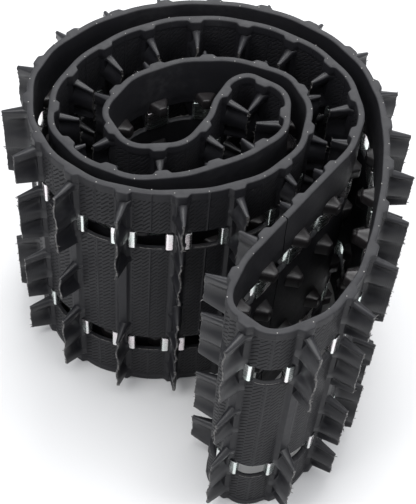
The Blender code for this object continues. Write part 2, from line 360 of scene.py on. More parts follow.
def paddle_side(u, z):
    """Height of the moulded surface above the centre plane on the paddle side."""
    rim = np.minimum(z, BELT_WIDTH - z)
    x = np.abs(from_rod(u))
    boss = 1 - smooth_step((rim - BOSS_LENGTH + BOSS_END / 2) / BOSS_END)
    slim = 1 - smooth_step((from_window_row(z) - WINDOW_HEIGHT / 2) / SLIM_END)
    foot = RIB_FOOT + BOSS_FOOT * boss - WINDOW_FOOT * slim
    shoulder = RIB_SHOULDER - WINDOW_SHOULDER * slim + BOSS_SHOULDER * boss
    shape = smooth_step((foot - x) / (foot - shoulder))
    band = 1 - smooth_step((rim - BAND_WIDTH + BAND_EDGE / 2) / BAND_EDGE)
    height = BELT_THICKNESS / 2 + shape * (RIB_HEIGHT + (BOSS_HEIGHT - RIB_HEIGHT) * boss)
    height = height + BAND_HEIGHT * band * (1 - shape)
    height = height + SEAM_HEIGHT * (x > PITCH / 2 - SEAM_WIDTH / 2)
    height = height - rounding(rim, RIM_ROUND)
    return height - rounding(window_distance(u, z), WINDOW_ROUND)


def drive_side(u, z):
    """Depth of the drive side's surface below the centre plane."""
    rim = np.minimum(z, BELT_WIDTH - z)
    up, down = [smooth_step((rim - edge) / LEDGE_EDGE) for edge in LEDGE]
    depth = BELT_THICKNESS / 2 + LEDGE_HEIGHT * (up - down) - rounding(rim, RIM_ROUND)
    return depth - rounding(window_distance(u, z), WINDOW_ROUND)


def round_window_corners(u, z):
    """Pulls the points on a window's edges onto its round corners."""
    middle = u - from_rod(u - PITCH / 2)
    for row in WINDOW_ROWS:
        half_along, half_up = (PITCH - FLAT) / 2, WINDOW_HEIGHT / 2
        a = half_along - np.abs(u - middle)
        b = half_up - np.abs(z - row)
        on_edge = (a > -1e-6) & (b > -1e-6) & ((a < 1e-6) | (b < 1e-6))
        corner = on_edge & (a < WINDOW_CORNER) & (b < WINDOW_CORNER)
        da, db = WINDOW_CORNER - a, WINDOW_CORNER - b
        reach = np.maximum(np.hypot(da, db), 1e-9)
        shrink = np.where(corner, WINDOW_CORNER / reach, 1.0)
        side_u, side_z = np.sign(u - middle), np.sign(z - row)
        u = np.where(corner, middle + side_u * (half_along - WINDOW_CORNER + da * shrink), u)
        z = np.where(corner, row + side_z * (half_up - WINDOW_CORNER + db * shrink), z)
    return u, z


def carcass(name, start, end):
    """A stretch of the bare belt: ribs, bosses, rims and windows, as one closed mesh, unrolled."""
    us, zs = along_stations(start, end), across_stations()
    grid_u, grid_z = np.meshgrid(us, zs, indexing="ij")
    out, back = paddle_side(grid_u, grid_z), drive_side(grid_u, grid_z)
    flat_u, flat_z = round_window_corners(grid_u, grid_z)
    points = np.concatenate([
        np.stack([flat_u, -out, flat_z], axis=-1).reshape(-1, 3),
        np.stack([flat_u, back, flat_z], axis=-1).reshape(-1, 3),
    ])
    uvs = np.concatenate([np.stack([flat_u, flat_z], axis=-1).reshape(-1, 2)] * 2)
    mid_u, mid_z = (us[:-1] + us[1:]) / 2, (zs[:-1] + zs[1:]) / 2
    in_panel = np.abs(from_rod(mid_u)) > FLAT / 2
    in_row = from_window_row(mid_z) < WINDOW_HEIGHT / 2
    solid = ~(in_panel[:, None] & in_row[None, :])
    rows, columns = len(us), len(zs)
    shift = rows * columns

    def at(i, j):
        return i * columns + j

    faces = []
    for i in range(rows - 1):
        for j in range(columns - 1):
            if not solid[i, j]:
                continue
            ring = (at(i, j), at(i + 1, j), at(i + 1, j + 1), at(i, j + 1))
            faces.append(ring)
            faces.append(tuple(k + shift for k in ring[::-1]))
            beyond = ((i, j - 1), (i + 1, j), (i, j + 1), (i - 1, j))
            for k, (bi, bj) in enumerate(beyond):
                if 0 <= bi < rows - 1 and 0 <= bj < columns - 1 and solid[bi, bj]:
                    continue
                a, b = ring[k], ring[(k + 1) % 4]
                faces.append((b, a, a + shift, b + shift))
    used = np.zeros(len(points), bool)
    used[np.unique(np.concatenate([np.asarray(f) for f in faces]))] = True
    index = np.cumsum(used) - 1
    faces = [tuple(int(index[k]) for k in face) for face in faces]
    outer = np.concatenate([np.ones(shift), np.zeros(shift)])
    return mesh_object(name, points[used], faces, uvs[used], {"outer": outer[used]})


def lofted(rings, cap):
    """Points and faces of a closed loft through rings of equal size; cap lists an end's faces."""
    size = len(rings[0])
    points = np.concatenate(rings)
    faces = []
    for k in range(len(rings) - 1):
        for i in range(size):
            j = (i + 1) % size
            faces.append((k * size + i, k * size + j, (k + 1) * size + j, (k + 1) * size + i))
    last = (len(rings) - 1) * size
    for face in cap:
        faces.append(tuple(face[::-1]))
        faces.append(tuple(k + last for k in face))
    return points, faces


def paddle(span):
    """One snow paddle: a pleated fin with thick ends that narrows from its root to a thin tip."""
    low, high = span
    waves = max(1, round((high - low) / PLEAT_SPACING))
    columns = max(12, int((high - low) / (2.0 * MM)))
    even = np.linspace(0, 1, columns + 1)
    share = (1 - np.cos(math.pi * even)) / 2 * 0.35 + even * 0.65
    rings, uvs, tips = [], [], []
    for h in PADDLE_LEVELS:
        rise = min(max(h / PADDLE_HEIGHT, 0.0), 1.0)
        z_low = low - PADDLE_SLOPE * (1 - rise)
        z_high = high + PADDLE_SLOPE * (1 - rise)
        z = z_low + share * (z_high - z_low)
        from_end = np.minimum(z - z_low, z_high - z)
        wave = np.tanh(1.5 * np.cos(2 * math.pi * waves * share) + 0.25) / math.tanh(1.75)
        wave = wave * (0.4 + 0.6 * smooth_step(from_end / (8 * MM)))
        swing = (4.4 - 3.1 * rise) * MM * wave
        lip = (3.2 - 2.3 * rise**1.5) * MM * np.exp(-((from_end / (5.0 * MM)) ** 2))
        fillet = 1.3 * MM * max(0.0, 1 - (h - 2 * MM) / (5 * MM)) ** 2
        half = (2.7 - 1.55 * rise) * MM + lip + fillet
        half = half * (0.55 if h == PADDLE_LEVELS[-1] else 1.0)
        cap_reach = (4.2 - 2.8 * rise) * MM
        ring = [(x + w, y) for x, w, y in zip(half, swing, z)]
        for turn in np.radians((45, 90, 135)):
            x, y = half[-1] * math.cos(turn), cap_reach * math.sin(turn)
            ring.append((swing[-1] + x, z_high + y))
        ring += [(w - x, y) for x, w, y in list(zip(half, swing, z))[::-1]]
        for turn in np.radians((225, 270, 315)):
            x, y = half[0] * math.cos(turn), cap_reach * math.sin(turn)
            ring.append((swing[0] + x, z_low + y))
        rings.append(np.array([(x, -h, y) for x, y in ring]))
        uvs += [(y, max(h, 0.0)) for x, y in ring]
        tips += [max(0.0, 1 - (PADDLE_LEVELS[-1] - h) / (3.2 * MM))] * len(ring)
    front = list(range(columns + 1))
    far_end = [columns + 1, columns + 2, columns + 3]
    rear = [columns + 4 + i for i in range(columns + 1)][::-1]
    near_end = [2 * columns + 5, 2 * columns + 6, 2 * columns + 7]
    cap = [(front[i], front[i + 1], rear[i + 1], rear[i]) for i in range(columns)]
    cap.append((front[-1], *far_end, rear[-1]))
    cap.append((rear[0], *near_end, front[0]))
    points, faces = lofted(rings, cap)
    return points, faces, uvs, tips


def drive_lug(span):
    """One drive lug: a block with round corners that narrows towards a flat top."""
    low, high = span
    sides = 20
    rings, uvs = [], []
    for h, width in DRIVE_LUG_RINGS:
        rise = max(h, 0.0) * MM / DRIVE_LUG_HEIGHT
        half_x = DRIVE_LUG_FOOT * width
        half_z = (high - low) / 2 + 1.0 * MM - 1.6 * MM * rise
        half_z = half_z - (0.9 * MM if h == DRIVE_LUG_RINGS[-1][0] else 0.0)
        ring = []
        for i in range(sides):
            turn = 2 * math.pi * i / sides
            c, s = math.cos(turn), math.sin(turn)
            x = half_x * math.copysign(abs(c) ** 0.5, c)
            z = (low + high) / 2 + half_z * math.copysign(abs(s) ** 0.5, s)
            ring.append((x, h * MM, z))
            uvs.append((z, h * MM))
        rings.append(np.array(ring))
    return *lofted(rings, [tuple(range(sides))]), uvs


def joined(name, shapes):
    """One object from several shapes: points, faces, a UV pair for each point, and tip values."""
    points, faces, uvs, tips = [], [], [], []
    for shape in shapes:
        shift = len(tips)
        points.append(shape[0])
        faces += [tuple(k + shift for k in face) for face in shape[1]]
        uvs += shape[2]
        tips += shape[3] if len(shape) > 3 else [0.0] * len(shape[0])
    return mesh_object(name, np.concatenate(points), faces, uvs, {"tip": tips})


def clip_shape():
    """A steel clip round a bar, at both window rows: back plate, two legs and two folded tabs."""
    half_sheet, soft = 0.8 * MM, 0.3 * MM
    leg, lift, bend, tab_tip = 14.3 * MM, 4.75 * MM, 1.9 * MM, 6.6 * MM
    tip_half, tab_half, half = 12.2 * MM, 13.6 * MM, 14.2 * MM
    # The sheet's middle line, from one tab round the leg to the back plate, with its half width
    path = [(tab_tip, 0.2 * MM - lift, tip_half), (tab_tip + 0.8 * MM, -lift, tab_half)]
    for x in (tab_tip + 1.6 * MM, leg - bend - 0.5 * MM, leg - bend):
        path.append((x, -lift, half))
    for middle, turns in ((bend - lift, (-60, -30, 0)), (lift - bend, (0, 30, 60, 90))):
        for turn in np.radians(turns):
            path.append((leg - bend + bend * math.cos(turn), middle + bend * math.sin(turn), half))
    path += [(6 * MM, lift, half), (3 * MM, lift + 0.5 * MM, half)]
    path += [(-x, y, wide) for x, y, wide in path[::-1]]
    ahead = np.gradient(np.array([(x, y) for x, y, wide in path]), axis=0)
    normal = np.stack([-ahead[:, 1], ahead[:, 0]], axis=-1)
    normal = normal / np.linalg.norm(ahead, axis=1)[:, None]
    shapes = []
    for row in WINDOW_ROWS:
        rings, uvs = [], []
        for (x, y, wide), n in zip(path, normal):
            side = [(half_sheet, wide - soft), (half_sheet - soft, wide)]
            corners = side + [(-a, b) for a, b in side[::-1]]
            corners += [(a, -b) for a, b in corners[::-1]]
            rings.append(np.array([(x + n[0] * a, y + n[1] * a, row + b) for a, b in corners]))
            uvs += [(x, row + b) for a, b in corners]
        shapes.append((*lofted(rings, [tuple(range(8))]), uvs))
    return shapes


def circle(x, y, radius, sides):
    turns = 2 * math.pi * np.arange(sides) / sides
    return [(x + radius * math.cos(turn), y + radius * math.sin(turn)) for turn in turns]


def rim_pip(along, across):
    """A pip that a mould vent leaves on the upper rim."""
    rings, sides = [], 6
    for rise, radius in ((-0.8, 0.7), (0.2, 0.65), (0.45, 0.3)):
        plan = circle(along * MM, across * MM, radius * MM, sides)
        rings.append(np.array([(x, y, BELT_WIDTH + rise * MM) for x, y in plan]))
    points, faces = lofted(rings, [tuple(range(sides))])
    return points, faces, [(0.0, BELT_WIDTH)] * len(points)


def window_flash(seed):
    """Thin torn flash along the lower edges of the two windows that follow a rod."""
    chance = np.random.default_rng(seed)
    shapes = []
    for row in WINDOW_ROWS:
        sill = row - WINDOW_HEIGHT / 2
        rings, uvs = [], []
        for along in np.linspace(19.0, 45.0, 19):
            rise = chance.uniform(0.1, 1.3) * MM
            lean = chance.uniform(-0.4, 0.2) * MM
            x, y = along * MM, -BELT_THICKNESS / 2 + 1.2 * MM
            foot, tip, below = 0.25 * MM, 0.12 * MM, sill - 0.5 * MM
            ring = [(x, y - foot, below), (x, y + foot, below)]
            ring += [(x, y + tip + lean, sill + rise), (x, y - tip + lean, sill + rise)]
            rings.append(np.array(ring))
            uvs += [(x, sill)] * 4
        shapes.append((*lofted(rings, [(0, 1, 2, 3)]), uvs))
    return shapes


def whisker():
    """One hair of moulding flash, standing on Z."""
    rings = []
    for height, radius, lean in ((-0.6, 0.55, 0.0), (1.2, 0.42, 0.15), (2.6, 0.22, 0.6)):
        turns = (0, 2.1, 4.2)
        ring = [(lean + radius * math.cos(t), radius * math.sin(t), height) for t in turns]
        rings.append(np.array(ring) * MM)
    points, faces = lofted(rings, [(0, 1, 2)])
    return joined("flash_hair", [(points, faces, [(0.0, 0.0)] * 9, [1.0] * 9)])


# Node trees -----------------------------------


class Nodes:
    """Short ways to add and link the nodes of a tree."""

    def __init__(self, tree):
        self.tree = tree

    def feed(self, socket, value):
        """Links an input to the value where that is a socket, and else sets it to the constant."""
        if isinstance(value, bpy.types.NodeSocket):
            self.tree.links.new(value, socket)
        else:
            socket.default_value = value

    def add(self, kind, values=None, **settings):
        """A node of a kind; values maps an input's name or number to a socket or a constant."""
        node = self.tree.nodes.new(kind)
        for key, value in settings.items():
            setattr(node, key, value)
        for key, value in (values or {}).items():
            self.feed(node.inputs[key], value)
        return node

    def math(self, operation, value, *others):
        """Math nodes in a row: each one takes the result so far and the next value."""
        for other in others or (0.0,):
            values = {0: value, 1: other}
            value = self.add("ShaderNodeMath", values, operation=operation).outputs[0]
        return value

    def plus(self, *values):
        return self.math("ADD", *values)

    def minus(self, a, b):
        return self.math("SUBTRACT", a, b)

    def times(self, *values):
        return self.math("MULTIPLY", *values)

    def apart(self, a, b):
        """The distance between two values."""
        return self.math("ABSOLUTE", self.minus(a, b))

    def split(self, vector):
        """The outputs X, Y and Z of a vector."""
        return self.add("ShaderNodeSeparateXYZ", {0: vector}).outputs


class Tree(Nodes):
    """A Geometry Nodes tree under construction, with Geometry and the named inputs."""

    def __init__(self, name, inputs):
        super().__init__(bpy.data.node_groups.new(name, "GeometryNodeTree"))
        new_socket = self.tree.interface.new_socket
        new_socket("Geometry", in_out="INPUT", socket_type="NodeSocketGeometry")
        for label, kind, value in inputs:
            socket = new_socket(label, in_out="INPUT", socket_type="NodeSocket" + kind)
            if value is not None:
                socket.default_value = value
        new_socket("Geometry", in_out="OUTPUT", socket_type="NodeSocketGeometry")
        self.start = self.tree.nodes.new("NodeGroupInput")
        self.end = self.tree.nodes.new("NodeGroupOutput")

    def input(self, label):
        return self.start.outputs[label]

    def object(self, label):
        """The geometry of the object that an input holds."""
        info = self.add("GeometryNodeObjectInfo", {"Object": self.input(label)})
        return info.outputs["Geometry"]

    def vector(self, operation, values):
        return self.add("ShaderNodeVectorMath", values, operation=operation).outputs[0]

    def named(self, label, kind="FLOAT"):
        node = self.add("GeometryNodeInputNamedAttribute", {"Name": label}, data_type=kind)
        return node.outputs["Attribute"]

    def join(self, pieces):
        node = self.add("GeometryNodeJoinGeometry")
        for piece in pieces:
            self.tree.links.new(piece, node.inputs[0])
        return node.outputs[0]

    def realized(self, geometry):
        return self.add("GeometryNodeRealizeInstances", {0: geometry}).outputs[0]

    def finish(self, geometry):
        self.tree.links.new(geometry, self.end.inputs["Geometry"])
        return self.tree

    def finish_wrapped(self, wrap, geometry):
        """Ends the tree with the geometry on the route, made real, in its material."""
        values = {"Geometry": geometry, "Route": self.input("Route")}
        wrapped = self.add("GeometryNodeGroup", values, node_tree=wrap)
        values = {"Geometry": self.realized(wrapped.outputs[0]), "Material": self.input("Material")}
        return self.finish(self.add("GeometryNodeSetMaterial", values).outputs[0])


# Geometry Nodes -------------------------------


ROUTE_STEP = 1 * MM
ROUTE_START = -PITCH
ROW_KINDS = len(PADDLE_ROWS)

# Ragged tips: the scale of the tearing, where it starts, and its share sideways
TEAR_SCALE = 420.0
TEAR_LEVEL = 0.42
TEAR_SIDEWAYS = 0.6
# Hairs stand on the faces whose tip value is above this, lean and turn this far, and vary in size
HAIR_TIP = 0.97
HAIR_TURN = (1.1, 1.1, 3.0)
HAIR_SIZES = (0.5, 1.35)


def route_object():
    """The rolled belt's centre line, a vertex each millimetre, with the drive side's direction."""
    count = int(round((PITCHES + 2) * PITCH / ROUTE_STEP)) + 1
    points, lefts = [], []
    for i in range(count):
        place, travel = on_belt(ROUTE_START + i * ROUTE_STEP)
        points.append((place[0] - CENTRE[0], place[1] - CENTRE[1], 0.0))
        lefts.append((-travel[1], travel[0], 0.0))
    data = bpy.data.meshes.new("rolled_route")
    data.from_pydata(points, [(i, i + 1) for i in range(count - 1)], [])
    left = data.attributes.new("left", "FLOAT_VECTOR", "POINT")
    left.data.foreach_set("vector", np.array(lefts, np.float32).ravel())
    return link_object("rolled_route", data)


def wrap_tree():
    """Moves unrolled geometry onto the route: X along it, Y to its left and Z up."""
    t = Tree("wrap_on_route", (
        ("Route", "Object", None), ("Step", "Float", ROUTE_STEP), ("Start", "Float", ROUTE_START),
    ))
    route = t.object("Route")
    where = t.add("GeometryNodeInputPosition").outputs[0]
    parts = t.split(where)
    steps = t.math("DIVIDE", t.minus(parts["X"], t.input("Start")), t.input("Step"))
    whole = t.math("FLOOR", steps)
    rest = t.minus(steps, whole)
    found = []
    for value in (where, t.named("left", "FLOAT_VECTOR")):
        ends = []
        for further in (0.0, 1.0):
            values = {"Geometry": route, "Value": value, "Index": t.plus(whole, further)}
            sample = t.add(
                "GeometryNodeSampleIndex", values, data_type="FLOAT_VECTOR", clamp=True
            )
            ends.append(sample.outputs["Value"])
        mixed = t.add("ShaderNodeMix", {0: rest, 4: ends[0], 5: ends[1]}, data_type="VECTOR")
        found.append(mixed.outputs[1])
    aside = t.vector("SCALE", {0: found[1], "Scale": parts["Y"]})
    up = t.add("ShaderNodeCombineXYZ", {"Z": parts["Z"]}).outputs[0]
    target = t.vector("ADD", {0: t.vector("ADD", {0: found[0], 1: aside}), 1: up})
    moved = t.add(
        "GeometryNodeSetPosition", {"Geometry": t.input("Geometry"), "Position": target}
    )
    return t.finish(moved.outputs[0])


def sheet_tree(wrap):
    """Wraps one unrolled moulding and gives it its material."""
    t = Tree("belt_sheet", (("Route", "Object", None), ("Material", "Material", None)))
    return t.finish_wrapped(wrap, t.input("Geometry"))


def repeat_tree(wrap):
    """Puts a row kind's piece on its rods, tears its tips, adds flash hairs and wraps it all."""
    t = Tree("repeat_on_rods", (
        ("Route", "Object", None), ("Material", "Material", None),
        *[("Row %d" % row, "Object", None) for row in range(ROW_KINDS)],
        ("Hair", "Object", None), ("Ragged", "Float", 0.0), ("Hair density", "Float", 0.0),
        ("Seed", "Int", 1),
    ))
    copies = []
    for row in range(ROW_KINDS):
        values = {2: t.named("row", "INT"), 3: row}
        chosen = t.add("FunctionNodeCompare", values, data_type="INT", operation="EQUAL")
        copies.append(t.add("GeometryNodeInstanceOnPoints", {
            "Points": t.input("Geometry"), "Selection": chosen.outputs[0],
            "Instance": t.object("Row %d" % row), "Scale": t.named("stretch", "FLOAT_VECTOR"),
        }).outputs[0])
    whole = t.realized(t.join(copies))
    tip, ragged, seed = t.named("tip"), t.input("Ragged"), t.input("Seed")
    values = {"Scale": TEAR_SCALE, "Detail": 3.0, "W": seed}
    noise = t.add("ShaderNodeTexNoise", values, noise_dimensions="4D").outputs[0]
    depth = t.times(t.minus(noise, TEAR_LEVEL), ragged, tip, -1.0)
    sideways = t.times(t.minus(noise, 0.5), ragged, t.times(tip, TEAR_SIDEWAYS))
    offset = t.add("ShaderNodeCombineXYZ", {"X": sideways, "Y": depth}).outputs[0]
    torn = t.add("GeometryNodeSetPosition", {"Geometry": whole, "Offset": offset}).outputs[0]
    spread = t.add("GeometryNodeDistributePointsOnFaces", {
        "Mesh": torn, "Selection": t.math("GREATER_THAN", tip, HAIR_TIP),
        "Density": t.input("Hair density"), "Seed": seed,
    }).outputs
    values = {"Min": tuple(-turn for turn in HAIR_TURN), "Max": HAIR_TURN, "Seed": seed}
    lean = t.add("FunctionNodeRandomValue", values, data_type="FLOAT_VECTOR").outputs[0]
    values = {0: spread["Rotation"], 1: lean}
    turned = t.add("FunctionNodeRotateRotation", values, rotation_space="LOCAL").outputs[0]
    values = {2: HAIR_SIZES[0], 3: HAIR_SIZES[1], "Seed": seed}
    size = t.add("FunctionNodeRandomValue", values, data_type="FLOAT").outputs[1]
    hairs = t.add("GeometryNodeInstanceOnPoints", {
        "Points": spread["Points"], "Instance": t.object("Hair"),
        "Rotation": turned, "Scale": size,
    }).outputs[0]
    return t.finish_wrapped(wrap, t.join([torn, t.realized(hairs)]))


def grown(name, source, tree, inputs, sharp=40):
    """The plain mesh that a tree makes from a source object, which it replaces."""
    modifier = source.modifiers.new("shape", "NODES")
    modifier.node_group = tree
    for socket in tree.interface.items_tree:
        if socket.item_type == "SOCKET" and socket.in_out == "INPUT" and socket.name in inputs:
            modifier[socket.identifier] = inputs[socket.name]
    graph = bpy.context.evaluated_depsgraph_get()
    graph.update()
    data = bpy.data.meshes.new_from_object(
        source.evaluated_get(graph), preserve_all_data_layers=True, depsgraph=graph
    )
    source.modifiers.remove(modifier)
    bpy.data.objects.remove(source, do_unlink=True)
    data.name = name
    data.shade_smooth()
    data.set_sharp_from_angle(angle=math.radians(sharp))
    return link_object(name, data)


def rod_points(rods, side=0, moulded=0.0):
    """Points at the rods, on the belt's face on a side or in its middle, with row and squeeze."""
    face = -side * BELT_THICKNESS / 2
    data = bpy.data.meshes.new("rod_points")
    data.from_pydata([((rod - FIRST) * PITCH, face, 0.0) for rod in rods], [], [])
    row = data.attributes.new("row", "INT", "POINT")
    row.data.foreach_set("value", [0 if side < 0 else (rod - 2) % ROW_KINDS for rod in rods])
    shares = [squeezed(moulded, rod, side) / moulded if side else 1.0 for rod in rods]
    stretch = data.attributes.new("stretch", "FLOAT_VECTOR", "POINT")
    scales = np.array([(1.0, share, 1.0) for share in shares], np.float32)
    stretch.data.foreach_set("vector", scales.ravel())
    return link_object("rod_points", data)


# Materials ------------------------------------


BLACK = (0.0100, 0.0100, 0.0120, 1.0)
DUSTY = (0.026, 0.026, 0.028, 1.0)
BROWNISH = (0.021, 0.017, 0.016, 1.0)
# Painted shade for the cord grooves
GROOVE_SHADE = (0.003, 0.003, 0.0035, 1.0)
TORN_GREY = (0.12, 0.115, 0.11, 1.0)
PALE_GREY = (0.30, 0.29, 0.275, 1.0)
# Paler rim tone: partly scuffed wear, partly painted light on the rims' top faces
RIM_SCUFF_AND_TOP_LIGHT = (0.024, 0.024, 0.026, 1.0)
LUG_BLACK = (0.0140, 0.0122, 0.0128, 1.0)
STEEL = (0.80, 0.79, 0.77, 1.0)
STEEL_PINK = (0.93, 0.86, 0.88, 1.0)
STEEL_GREEN = (0.84, 0.93, 0.89, 1.0)
FIBREGLASS = (0.72, 0.70, 0.58, 1.0)
FIBRE_DARK = (0.60, 0.58, 0.46, 1.0)
FIBRE_LIGHT = (0.80, 0.78, 0.66, 1.0)
FLOOR_GREY = (0.62, 0.62, 0.62, 1.0)

# Depths of the fine relief that is bump in a material, and the spacing of a paddle's steps
GRAIN_DEPTH = 0.05 * MM
CORD_DEPTH = 0.75 * MM
STEP_DEPTH = 0.10 * MM
STEP_SPACING = 2.1 * MM


class Shading(Nodes):
    """Short ways to add shader nodes."""

    def place(self):
        return self.add("ShaderNodeTexCoord").outputs["Object"]

    def uv(self):
        return self.add("ShaderNodeUVMap", uv_map="UVMap").outputs[0]

    def attribute(self, label):
        node = self.add("ShaderNodeAttribute", attribute_name=label, attribute_type="GEOMETRY")
        return node.outputs["Fac"]

    def stretched(self, where, scale):
        return self.add("ShaderNodeMapping", {"Vector": where, "Scale": scale}).outputs[0]

    def ramp(self, value, low, high, to_low=0.0, to_high=1.0, smooth=False):
        values = {0: value, 1: low, 2: high, 3: to_low, 4: to_high}
        kind = "SMOOTHSTEP" if smooth else "LINEAR"
        return self.add("ShaderNodeMapRange", values, interpolation_type=kind).outputs[0]

    def noise(self, where, scale, detail=2.0, roughness=0.5):
        values = {"Vector": where, "Scale": scale, "Detail": detail, "Roughness": roughness}
        return self.add("ShaderNodeTexNoise", values).outputs[0]

    def mix(self, share, a, b):
        return self.add("ShaderNodeMix", {0: share, 6: a, 7: b}, data_type="RGBA").outputs[2]

    def bump(self, height, distance, strength, below=None):
        values = {"Height": height, "Distance": distance, "Strength": strength}
        if below is not None:
            values["Normal"] = below
        return self.add("ShaderNodeBump", values).outputs["Normal"]

    def from_rim(self, z):
        """Distance across the belt from its nearer rim."""
        return self.minus(BELT_WIDTH / 2, self.apart(z, BELT_WIDTH / 2))


def shader_group(name, inputs, outputs):
    """A group's nodes, its named inputs with their values, and its named outputs."""
    tree = bpy.data.node_groups.new(name, "ShaderNodeTree")
    new_socket, kind = tree.interface.new_socket, "NodeSocketFloat"
    for label, value in inputs:
        new_socket(label, in_out="INPUT", socket_type=kind).default_value = value
    for label in outputs:
        new_socket(label, in_out="OUTPUT", socket_type=kind)
    start, end = tree.nodes.new("NodeGroupInput"), tree.nodes.new("NodeGroupOutput")
    return Shading(tree), start.outputs, end.inputs


def rubber_wear_group():
    """Dusty, slightly mottled rubber: a dust mask, a roughness and a fine grain height."""
    n, start, end = shader_group(
        "rubber_wear", (("Mottle", 9.0), ("Grain", 1500.0), ("Base roughness", 0.5)),
        ("Dust", "Roughness", "Height"),
    )
    where = n.place()
    broad = n.noise(where, start["Mottle"], 4.0, 0.6)
    spots = n.noise(where, 120.0, 3.0, 0.7)
    dust = n.times(n.ramp(broad, 0.42, 0.72, smooth=True), n.ramp(spots, 0.3, 0.75))
    uneven = n.times(n.minus(spots, 0.5), 0.22)
    n.feed(end["Dust"], dust)
    n.feed(end["Roughness"], n.plus(start["Base roughness"], uneven, n.times(dust, 0.12)))
    n.feed(end["Height"], n.noise(where, start["Grain"], 1.0))
    return n.tree


def cord_texture_group():
    """The moulded cord pattern of the panels: staggered slanted grooves, in columns."""
    n, start, end = shader_group(
        "cord_texture", (("Spacing", 0.0070), ("Column", 0.0096), ("Slope", 0.92)),
        ("Height", "Groove"),
    )
    uv = n.uv()
    parts = n.split(uv)
    u, z = parts["X"], parts["Y"]
    turns = n.math("FRACT", n.math("DIVIDE", n.plus(u, PITCH / 2), PITCH))
    from_bar = n.math("ABSOLUTE", n.times(n.minus(turns, 0.5), PITCH))
    seam, sill = PITCH / 2, WINDOW_HEIGHT / 2
    clear_of = [
        n.ramp(from_bar, 10.5 * MM, 11.5 * MM),
        n.ramp(n.from_rim(z), 13.0 * MM, 14.0 * MM),
        n.minus(1.0, n.ramp(from_bar, seam - 1.8 * MM, seam - 1.0 * MM)),
    ]
    for row in WINDOW_ROWS:
        clear_of.append(n.ramp(n.apart(z, row), sill + 1.5 * MM, sill + 2.5 * MM))
    panel = n.times(*clear_of, n.math("GREATER_THAN", n.attribute("outer"), 0.99))
    columns = n.math("DIVIDE", u, start["Column"])
    column = n.math("FLOOR", columns)
    in_column = n.minus(columns, column)
    wander = n.times(n.minus(n.noise(uv, 90.0, 1.0), 0.5), 0.5)
    rise = n.math("DIVIDE", n.minus(z, n.times(u, start["Slope"])), start["Spacing"])
    bow = n.times(n.math("SINE", n.times(in_column, 2 * math.pi)), 0.07)
    phase = n.plus(rise, n.times(column, 0.5), wander, bow)
    cut = n.ramp(n.math("COSINE", n.times(phase, 2 * math.pi)), 0.30, 0.92, smooth=True)
    ends = n.ramp(n.apart(in_column, 0.5), 0.50, 0.40, 0.25, 1.0, smooth=True)
    groove = n.times(cut, ends, panel)
    n.feed(end["Height"], n.minus(1.0, groove))
    n.feed(end["Groove"], groove)
    return n.tree


def new_material(name, colour, roughness, metallic=0.0, specular=0.5):
    """A material, its nodes and its shader's inputs."""
    made = bpy.data.materials.new(name)
    made.use_nodes = True
    shader = made.node_tree.nodes["Principled BSDF"].inputs
    shader["Base Color"].default_value = colour
    shader["Roughness"].default_value = roughness
    shader["Metallic"].default_value = metallic
    shader["Specular IOR Level"].default_value = specular
    return made, Shading(made.node_tree), shader


def carcass_rubber(wear, cord):
    """The belt's rubber: dusty and scuffed, paler on its rims partly from scuffing and partly from
    painted light from above, with the cord pattern and painted shade in its grooves.
    """
    made, n, shader = new_material("carcass_rubber", BLACK, 0.5, specular=0.23)
    values = {"Mottle": 7.0, "Base roughness": 0.50}
    worn = n.add("ShaderNodeGroup", values, node_tree=wear).outputs
    ropes = n.add("ShaderNodeGroup", node_tree=cord).outputs
    uv = n.uv()
    streaks = n.noise(n.stretched(uv, (14.0, 260.0, 1.0)), 1.0, 3.0, 0.6)
    scuffs_and_light = n.ramp(n.noise(n.place(), 55.0, 3.0, 0.65), 0.30, 0.70, 0.20, 1.0)
    rim = n.ramp(n.from_rim(n.split(uv)["Y"]), 2.2 * MM, 0.8 * MM, smooth=True)
    colour = n.mix(worn["Dust"], BLACK, DUSTY)
    colour = n.mix(n.times(n.ramp(streaks, 0.52, 0.80, smooth=True), 0.35), colour, BROWNISH)
    # Painted light on the rims' top faces, broken up by scuffed wear
    colour = n.mix(n.times(rim, scuffs_and_light), colour, RIM_SCUFF_AND_TOP_LIGHT)
    # Painted shade: the cord grooves are darkened in colour, as if shade fell in them
    colour = n.mix(n.times(ropes["Groove"], 0.8), colour, GROOVE_SHADE)
    n.feed(shader["Base Color"], colour)
    n.feed(shader["Roughness"], n.plus(worn["Roughness"], n.times(ropes["Groove"], 0.3)))
    grain = n.bump(worn["Height"], GRAIN_DEPTH, 0.6)
    n.feed(shader["Normal"], n.bump(ropes["Height"], CORD_DEPTH, 1.0, grain))
    return made


def lug_rubber(name, wear, base, mark_tips=False):
    """Rubber of small mouldings; a marked tip is torn and lighter, with fine steps below it."""
    made, n, shader = new_material(name, base, 0.36, specular=0.34)
    values = {"Mottle": 16.0, "Base roughness": 0.34}
    worn = n.add("ShaderNodeGroup", values, node_tree=wear).outputs
    colour = n.mix(worn["Dust"], base, DUSTY)
    normal = n.bump(worn["Height"], GRAIN_DEPTH, 0.5)
    if mark_tips:
        tip = n.ramp(n.attribute("tip"), 0.86, 1.0, smooth=True)
        frayed = n.ramp(n.noise(n.place(), 260.0, 2.0), 0.40, 0.62)
        colour = n.mix(n.times(tip, frayed), colour, TORN_GREY)
        rise = n.split(n.uv())["Y"]
        steps = n.math("SINE", n.times(rise, 2 * math.pi / STEP_SPACING))
        near = n.times(n.ramp(rise, 21 * MM, 22 * MM), n.ramp(rise, 29.5 * MM, 28.5 * MM))
        normal = n.bump(n.times(steps, near), STEP_DEPTH, 0.4, normal)
    n.feed(shader["Base Color"], colour)
    n.feed(shader["Roughness"], worn["Roughness"])
    n.feed(shader["Normal"], normal)
    return made


